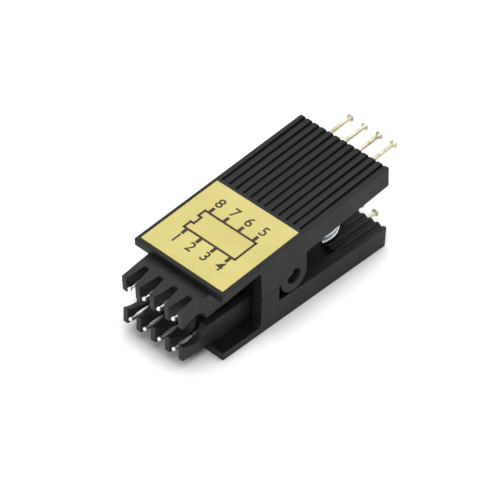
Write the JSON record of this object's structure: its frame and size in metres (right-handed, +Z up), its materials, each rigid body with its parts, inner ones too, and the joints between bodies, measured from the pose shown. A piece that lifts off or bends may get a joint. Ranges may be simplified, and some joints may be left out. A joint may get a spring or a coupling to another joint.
{
  "type": "ic test clip",
  "caption": "Spring-loaded test clip with two rocking halves, combs of wire contacts at the nose and nail-head posts at the rear.",
  "frame": {"origin": "on the flat outer face of the lower half, straight below the axis of the pivot pin", "axes": "+X along the length, from the contact nose towards the nail-head posts; +Y across the width, along the pivot pin; +Z up, from the lower half to the upper half"},
  "size_m": [0.0416, 0.0154, 0.0138],
  "materials": {
    "body_plastic": "fine matte moulded charcoal black",
    "comb_plastic": "matte moulded charcoal",
    "contact_nickel": "drawn wire with a pale gold-nickel plating",
    "pin_steel": "ground steel",
    "spring_steel": "bright plated spring wire",
    "label_gold": "satin gold film with dark print"
  },
  "bodies": {
    "lower_half": {"lower_body": "body_plastic", "lower_comb": "comb_plastic", "lower_contact_1": "contact_nickel", "lower_contact_2": "contact_nickel", "lower_contact_3": "contact_nickel", "lower_contact_4": "contact_nickel", "pivot_pin": "pin_steel", "spring": "spring_steel"},
    "upper_half": {"upper_body": "body_plastic", "upper_comb": "comb_plastic", "upper_contact_1": "contact_nickel", "upper_contact_2": "contact_nickel", "upper_contact_3": "contact_nickel", "upper_contact_4": "contact_nickel", "label": "label_gold"}
  },
  "joints": [
    {"name": "squeeze", "type": "hinge", "parent": "lower_half", "child": "upper_half", "pos_m": [0, 0, 0.00615], "axis": [0, 1, 0], "range_deg": [0, 18], "stiffness_Nm_per_rad": 0.15, "springref_deg": -17.19, "deforming": ["spring"]}
  ]
}
